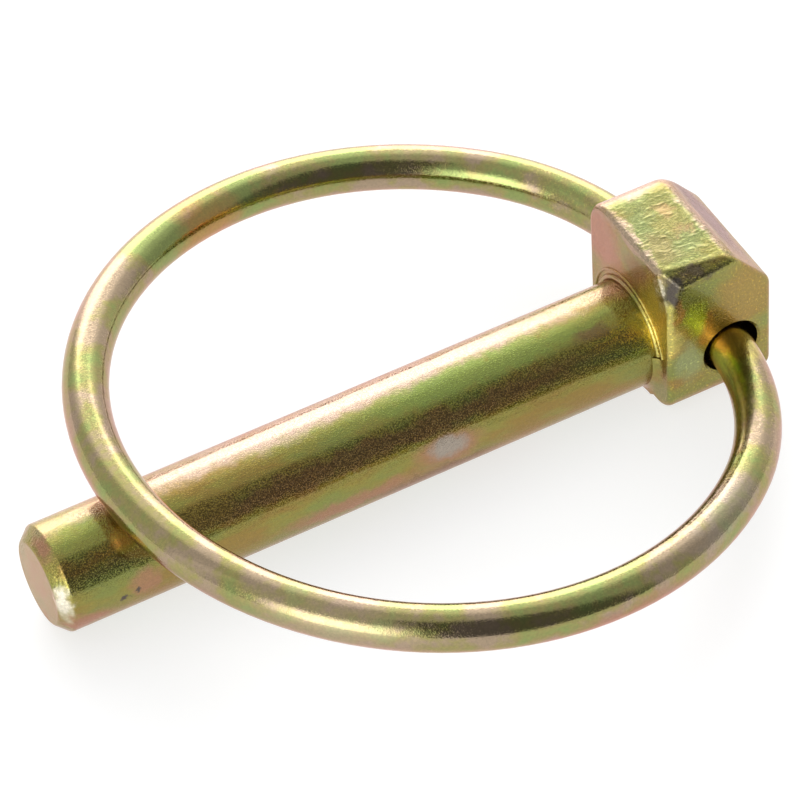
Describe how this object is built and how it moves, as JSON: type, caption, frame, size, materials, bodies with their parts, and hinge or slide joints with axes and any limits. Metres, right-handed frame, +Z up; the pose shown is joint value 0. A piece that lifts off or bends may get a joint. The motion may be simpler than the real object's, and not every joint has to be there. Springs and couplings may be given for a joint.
{
  "type": "lynch pin",
  "caption": "Forged steel locking pin with a block head and a hinged spring-wire ring that snaps down over the shank.",
  "frame": {"origin": "on the shank's axis, in the plane of the face under the head", "axes": "+X from the tip to the head along the shank, +Y from the front mouth of the cross hole to the rear one, +Z up from the flat underside to the side that the ring closes on"},
  "size_m": [0.0415, 0.038, 0.0099],
  "materials": {
    "forged_pin": "forged steel, yellow zinc plated and passivated",
    "spring_ring": "spring steel wire, yellow zinc plated and passivated"
  },
  "bodies": {
    "pin_body": {"pin": "forged_pin"},
    "ring_body": {"ring": "spring_ring"}
  },
  "joints": [
    {"name": "ring_hinge", "type": "hinge", "parent": "pin_body", "child": "ring_body", "pos_m": [0.0037, 0, 0.0006], "axis": [0, 1, 0], "range_deg": [0, 345]}
  ]
}
